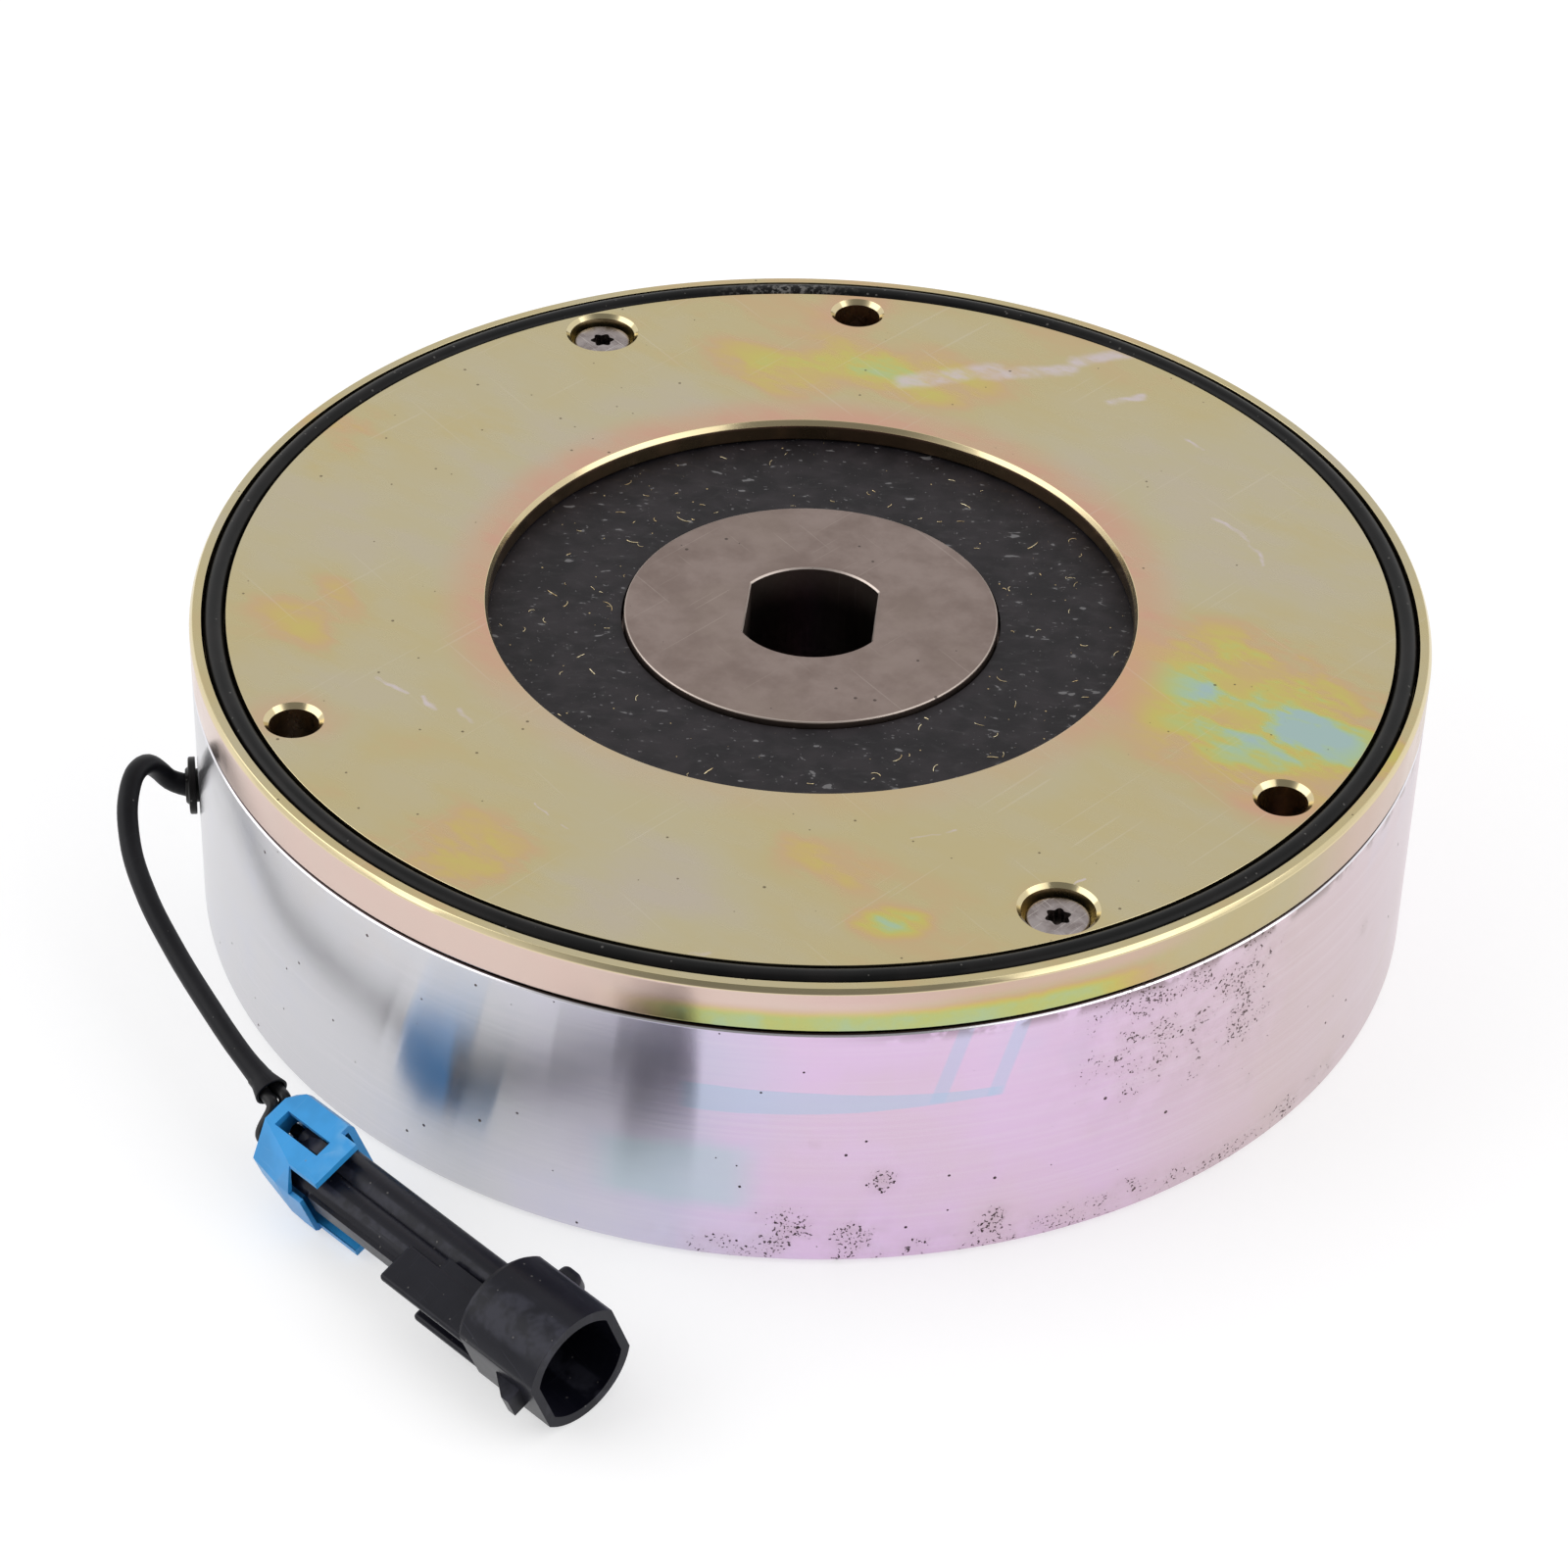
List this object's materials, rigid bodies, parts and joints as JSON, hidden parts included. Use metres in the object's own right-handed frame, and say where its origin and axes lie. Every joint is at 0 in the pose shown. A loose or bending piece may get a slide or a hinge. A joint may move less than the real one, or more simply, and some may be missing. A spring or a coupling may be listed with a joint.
{
  "type": "motor brake",
  "caption": "Round spring-applied, power-off brake for an electric motor: plated steel body and cover, friction disc on a double-D hub, and a short lead with a two-way plug.",
  "frame": {"origin": "centre of the body's flat back face, on the rotor's axis", "axes": "+Z along the rotor's axis from the closed back to the cover's open face, +Y towards one bolt hole and along the flats of the shaft bore, +X completes a right-handed frame"},
  "size_m": [0.1587, 0.1856, 0.0413],
  "materials": {
    "yellow_zinc": "satin yellow zinc with a cloudy green, gold and pink sheen",
    "clear_zinc": "smooth clear zinc with a lilac and pink sheen and corrosion specks",
    "bright_steel": "bare ground steel, slightly mottled",
    "screw_steel": "satin steel",
    "spring_steel": "drawn wire",
    "friction_lining": "moulded lining with grey flecks and brass fibres",
    "seal_rubber": "satin black rubber",
    "sleeve_plastic": "satin black",
    "wire_plastic": "satin black",
    "black_nylon": "fine moulded grain",
    "blue_plastic": "satin bright blue",
    "bobbin_plastic": "natural nylon",
    "copper_winding": "enamelled copper",
    "potting_resin": "cast resin",
    "terminal_tin": "tin plated"
  },
  "bodies": {
    "housing": {"cover_plate": "yellow_zinc", "o_ring": "seal_rubber", "cover_screw_1": "screw_steel", "cover_screw_2": "screw_steel", "magnet_body": "clear_zinc", "guide_pin_1": "bright_steel", "guide_pin_2": "bright_steel", "guide_pin_3": "bright_steel", "spring_1": "spring_steel", "spring_2": "spring_steel", "spring_3": "spring_steel", "spring_4": "spring_steel", "spring_5": "spring_steel", "spring_6": "spring_steel", "coil_bobbin": "bobbin_plastic", "coil_winding": "copper_winding", "coil_potting": "potting_resin", "cable_grommet": "seal_rubber", "cable_sleeve": "sleeve_plastic", "lead_wire_1": "wire_plastic", "lead_wire_2": "wire_plastic", "connector_body": "black_nylon", "connector_lock": "blue_plastic", "terminal_1": "terminal_tin", "terminal_2": "terminal_tin", "wire_seal_1": "seal_rubber", "wire_seal_2": "seal_rubber"},
    "rotor": {"friction_disc": "friction_lining", "rotor_hub": "bright_steel"},
    "armature": {"armature_plate": "bright_steel"}
  },
  "joints": [
    {"name": "rotor_spin", "type": "hinge", "parent": "housing", "child": "rotor", "pos_m": [0, 0, 0.0343], "axis": [0, 0, 1], "continuous": true},
    {"name": "armature_slide", "type": "slide", "parent": "housing", "child": "armature", "axis": [0, 0, -1], "range_m": [0, 0.0005], "stiffness_N_per_m": 4000, "springref_m": -0.006, "deforming": ["spring_1", "spring_2", "spring_3", "spring_4", "spring_5", "spring_6"]}
  ]
}
